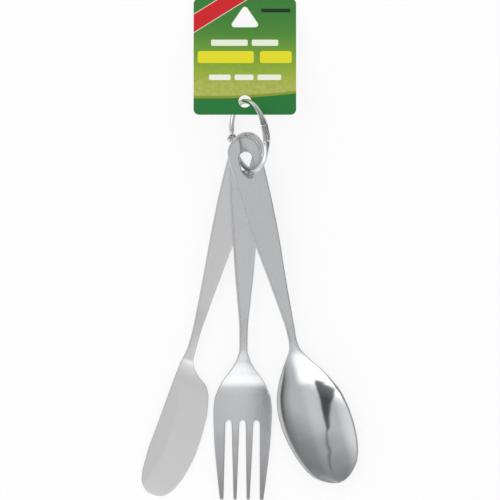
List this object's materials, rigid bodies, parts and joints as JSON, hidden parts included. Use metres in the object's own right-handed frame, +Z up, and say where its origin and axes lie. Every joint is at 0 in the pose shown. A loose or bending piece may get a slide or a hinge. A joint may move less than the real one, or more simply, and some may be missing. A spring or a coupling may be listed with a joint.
{
  "type": "cutlery set",
  "caption": "Steel travel knife, fork and spoon fanned on a hinged snap ring, with a printed hang card on the same ring; the set lies flat and its pieces swing on the ring.",
  "frame": {"origin": "middle of the footprint, on the table the set lies on", "axes": "+Y from the flatware heads to the hang card, +Z up from the table, +X to the right seen from above with the card at the top"},
  "size_m": [0.1068, 0.247, 0.0335],
  "materials": {
    "knife_steel": "satin stainless steel",
    "fork_steel": "satin stainless steel",
    "spoon_steel": "polished stainless steel",
    "ring_nickel": "nickel plated wire",
    "card_print": "printed card, uncoated"
  },
  "bodies": {
    "fork": {"fork": "fork_steel"},
    "knife": {"knife": "knife_steel"},
    "spoon": {"spoon": "spoon_steel"},
    "ring_lower": {"ring_lower": "ring_nickel", "hinge_rivet": "ring_nickel"},
    "ring_upper": {"ring_upper": "ring_nickel"},
    "hang_card": {"hang_card": "card_print"}
  },
  "joints": [
    {"name": "knife_swing", "type": "hinge", "parent": "fork", "child": "knife", "pos_m": [-0.00333, 0.04161, 0.0082], "axis": [0.0111, 0.0401, -0.9991], "range_deg": [0, 75]},
    {"name": "spoon_swing", "type": "hinge", "parent": "fork", "child": "spoon", "pos_m": [-0.00059, 0.03934, 0.0125], "axis": [0.0112, -0.0423, 0.999], "range_deg": [0, 75]},
    {"name": "ring_swing", "type": "hinge", "parent": "fork", "child": "ring_lower", "pos_m": [-0.00192, 0.04021, 0.01035], "axis": [0, 0, 1], "range_deg": [-12, 12]},
    {"name": "ring_open", "type": "hinge", "parent": "ring_lower", "child": "ring_upper", "pos_m": [-0.00846, 0.05459, 0.00235], "axis": [-0.8644, -0.1215, 0.4879], "range_deg": [0, 40]},
    {"name": "card_swing", "type": "hinge", "parent": "ring_upper", "child": "hang_card", "pos_m": [-0.00301, 0.0726, 0.0165], "axis": [0, 0, 1], "range_deg": [-45, 45]}
  ]
}
